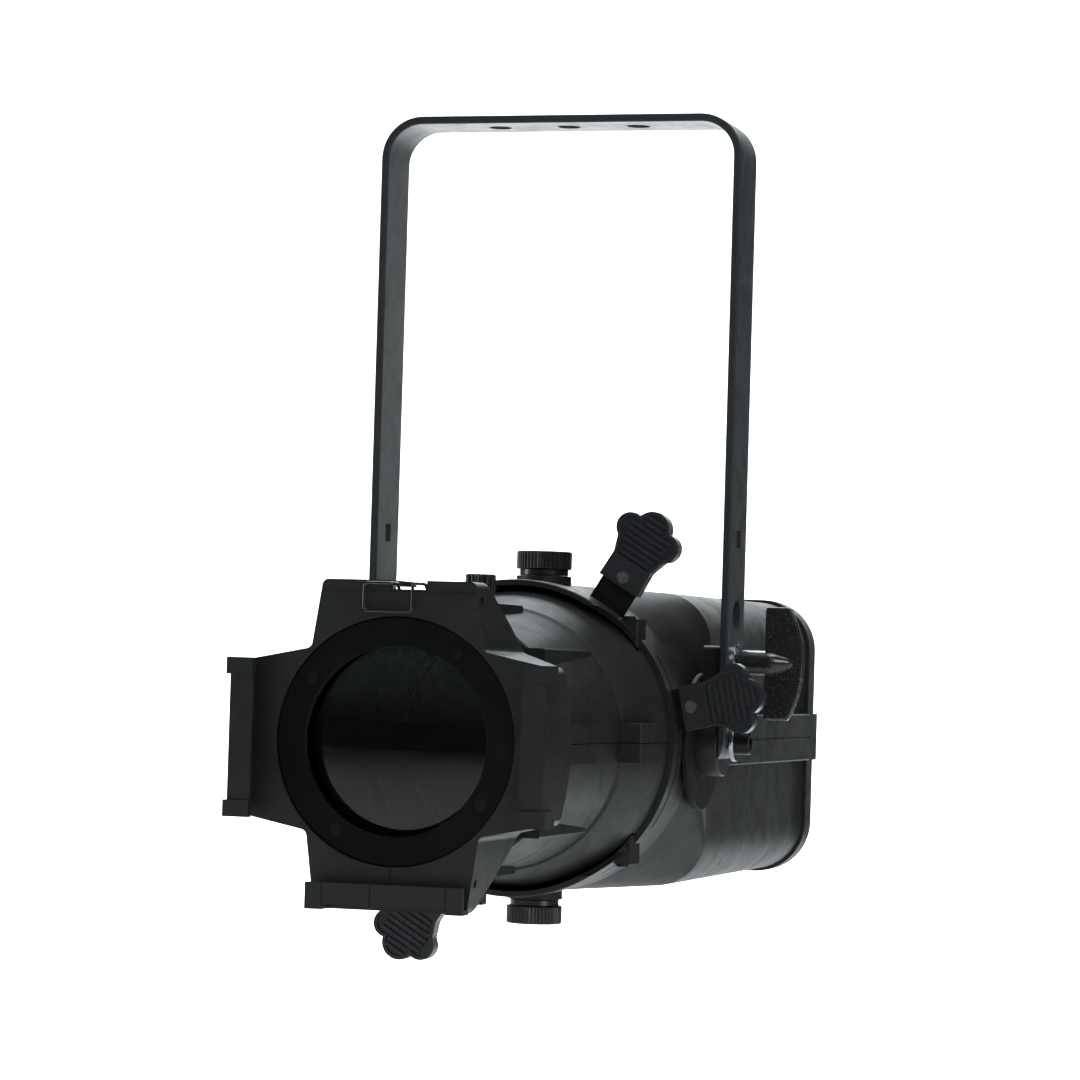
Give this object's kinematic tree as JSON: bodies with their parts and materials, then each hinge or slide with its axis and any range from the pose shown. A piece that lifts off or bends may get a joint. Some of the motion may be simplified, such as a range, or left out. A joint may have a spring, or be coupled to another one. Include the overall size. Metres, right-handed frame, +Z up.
{
  "type": "ellipsoidal spotlight",
  "caption": "Ellipsoidal stage spotlight in a tall flat-bar yoke, with sliding lens tube, colour frame holder and four framing shutters.",
  "frame": {"origin": "middle of the three clamp holes, on the top face of the yoke's bar", "axes": "+Z up and out of the clamp holes, -Y the way the light leaves, +X to the right seen from the front of the lamp"},
  "size_m": [0.2791, 0.6131, 0.4786],
  "materials": {
    "yoke_paint": "fine powder coat, semi-matte, blue-grey black",
    "shell_paint": "fine-grained powder coat on die-cast shells",
    "moulding": "plain black moulding",
    "zinc_steel": "bright plated washer",
    "knob_gloss": "glossy black moulding with a cast look",
    "fibre_disc": "light grey fibre disc",
    "black_screw": "black oxide steel",
    "panel_plastic": "matt black moulding",
    "display_glass": "dark display window",
    "socket_metal": "nickel-plated socket shells",
    "knob_ribbed": "black ribbed moulding",
    "tube_black": "black anodised tube",
    "lens_glass": "clear optical glass",
    "ring_black": "dark matt anodised ring",
    "holder_plastic": "satin charcoal moulding",
    "wire_black": "glossy black wire",
    "knob_fluted": "glossy black fluted moulding",
    "gate_steel": "heat-proof black steel",
    "blade_steel": "dark heat-toned steel",
    "grip_plastic": "grey-black heat-proof moulding",
    "bright_screw": "bright plated screw",
    "reflector": "polished reflector",
    "emitter": "light emitting module on a metal board",
    "heat_sink": "plain extruded aluminium",
    "fan_plastic": "black fan moulding",
    "driver_case": "plain driver case",
    "button_rubber": "dark rubber buttons"
  },
  "bodies": {
    "yoke": {"yoke": "yoke_paint", "lock_shoe": "moulding", "lock_washer": "zinc_steel"},
    "lock_knob": {"lock_knob": "knob_gloss"},
    "lamp": {"pivot_discs": "fibre_disc", "pivot_spacers": "moulding", "pivot_washers": "zinc_steel", "pivot_screws": "black_screw", "housing_upper": "shell_paint", "housing_lower": "shell_paint", "rear_cover": "shell_paint", "cover_screws": "black_screw", "control_panel": "panel_plastic", "display": "display_glass", "data_sockets": "socket_metal", "power_inlet": "panel_plastic", "saddle_screws": "black_screw", "barrel_upper": "shell_paint", "barrel_lower": "shell_paint", "gate_front_plate": "gate_steel", "gate_rear_plate": "gate_steel", "condenser_lens": "lens_glass", "reflector_cell": "reflector", "led_module": "emitter", "heat_sink": "heat_sink", "fan_frame": "fan_plastic", "chassis_tray": "gate_steel", "driver": "driver_case"},
    "focus": {"lens_tube": "tube_black", "front_lens": "lens_glass", "rear_lens": "lens_glass", "lens_ring": "ring_black", "ring_screws": "black_screw", "colour_frame_holder": "holder_plastic"},
    "frame_clip": {"frame_clip": "wire_black"},
    "focus_knob_top": {"focus_knob_top": "knob_fluted"},
    "focus_knob_bottom": {"focus_knob_bottom": "knob_fluted"},
    "clamp_knob_top": {"clamp_knob_top": "knob_ribbed"},
    "clamp_knob_bottom": {"clamp_knob_bottom": "knob_ribbed"},
    "fan_rotor": {"fan_rotor": "fan_plastic"},
    "shutter_top_guide": {"shutter_top_guide": "gate_steel"},
    "shutter_top": {"shutter_top_blade": "blade_steel", "shutter_top_grip": "grip_plastic", "shutter_top_screw": "bright_screw"},
    "shutter_bottom_guide": {"shutter_bottom_guide": "gate_steel"},
    "shutter_bottom": {"shutter_bottom_blade": "blade_steel", "shutter_bottom_grip": "grip_plastic", "shutter_bottom_screw": "bright_screw"},
    "shutter_right_guide": {"shutter_right_guide": "gate_steel"},
    "shutter_right": {"shutter_right_blade": "blade_steel", "shutter_right_grip": "grip_plastic", "shutter_right_screw": "bright_screw"},
    "shutter_left_guide": {"shutter_left_guide": "gate_steel"},
    "shutter_left": {"shutter_left_blade": "blade_steel", "shutter_left_grip": "grip_plastic", "shutter_left_screw": "bright_screw"},
    "menu_button_1": {"menu_button_1": "button_rubber"},
    "menu_button_2": {"menu_button_2": "button_rubber"},
    "menu_button_3": {"menu_button_3": "button_rubber"},
    "menu_button_4": {"menu_button_4": "button_rubber"}
  },
  "joints": [
    {"name": "lock_knob_turn", "type": "hinge", "parent": "yoke", "child": "lock_knob", "pos_m": [0, 0, -0.307], "axis": [1, 0, 0], "continuous": true},
    {"name": "tilt", "type": "hinge", "parent": "yoke", "child": "lamp", "pos_m": [0, 0, -0.352], "axis": [1, 0, 0], "range_deg": [-6, 100]},
    {"name": "focus", "type": "slide", "parent": "lamp", "child": "focus", "axis": [0, -1, 0], "range_m": [-0.007, 0.035]},
    {"name": "frame_clip_swing", "type": "hinge", "parent": "focus", "child": "frame_clip", "pos_m": [0, -0.2705, -0.277], "axis": [-1, 0, 0], "range_deg": [0, 95]},
    {"name": "focus_knob_top_turn", "type": "hinge", "parent": "focus", "child": "focus_knob_top", "pos_m": [0, -0.143, -0.272], "axis": [0, 0, 1], "continuous": true},
    {"name": "clamp_knob_top_turn", "type": "hinge", "parent": "lamp", "child": "clamp_knob_top", "pos_m": [0, -0.024, -0.257], "axis": [0, 0, 1], "continuous": true},
    {"name": "focus_knob_bottom_turn", "type": "hinge", "parent": "focus", "child": "focus_knob_bottom", "pos_m": [0, -0.143, -0.432], "axis": [0, 0, -1], "continuous": true},
    {"name": "clamp_knob_bottom_turn", "type": "hinge", "parent": "lamp", "child": "clamp_knob_bottom", "pos_m": [0, -0.024, -0.447], "axis": [0, 0, -1], "continuous": true},
    {"name": "shutter_top_swing", "type": "hinge", "parent": "lamp", "child": "shutter_top_guide", "pos_m": [0, 0, -0.352], "axis": [0, -1, 0], "range_deg": [-2, 64]},
    {"name": "shutter_top_slide", "type": "slide", "parent": "shutter_top_guide", "child": "shutter_top", "axis": [0.515, 0, 0.8572], "range_m": [-0.01, 0.023]},
    {"name": "shutter_bottom_swing", "type": "hinge", "parent": "lamp", "child": "shutter_bottom_guide", "pos_m": [0, 0, -0.352], "axis": [0, -1, 0], "range_deg": [-2, 64]},
    {"name": "shutter_bottom_slide", "type": "slide", "parent": "shutter_bottom_guide", "child": "shutter_bottom", "axis": [-0.515, 0, -0.8572], "range_m": [-0.01, 0.023]},
    {"name": "shutter_right_swing", "type": "hinge", "parent": "lamp", "child": "shutter_right_guide", "pos_m": [0, 0, -0.352], "axis": [0, -1, 0], "range_deg": [-36, 12]},
    {"name": "shutter_right_slide", "type": "slide", "parent": "shutter_right_guide", "child": "shutter_right", "axis": [0.9781, 0, 0.2079], "range_m": [-0.0006, 0.0324]},
    {"name": "shutter_left_swing", "type": "hinge", "parent": "lamp", "child": "shutter_left_guide", "pos_m": [0, 0, -0.352], "axis": [0, -1, 0], "range_deg": [-36, 12]},
    {"name": "shutter_left_slide", "type": "slide", "parent": "shutter_left_guide", "child": "shutter_left", "axis": [-0.9781, 0, -0.2079], "range_m": [-0.0006, 0.0324]},
    {"name": "fan_spin", "type": "hinge", "parent": "lamp", "child": "fan_rotor", "pos_m": [0, 0.172, -0.352], "axis": [0, 1, 0], "continuous": true},
    {"name": "menu_button_1_press", "type": "slide", "parent": "lamp", "child": "menu_button_1", "axis": [0, -1, 0], "range_m": [0, 0.0012], "stiffness_N_per_m": 800, "springref_m": -0.0008},
    {"name": "menu_button_2_press", "type": "slide", "parent": "lamp", "child": "menu_button_2", "axis": [0, -1, 0], "range_m": [0, 0.0012], "stiffness_N_per_m": 800, "springref_m": -0.0008},
    {"name": "menu_button_3_press", "type": "slide", "parent": "lamp", "child": "menu_button_3", "axis": [0, -1, 0], "range_m": [0, 0.0012], "stiffness_N_per_m": 800, "springref_m": -0.0008},
    {"name": "menu_button_4_press", "type": "slide", "parent": "lamp", "child": "menu_button_4", "axis": [0, -1, 0], "range_m": [0, 0.0012], "stiffness_N_per_m": 800, "springref_m": -0.0008}
  ]
}
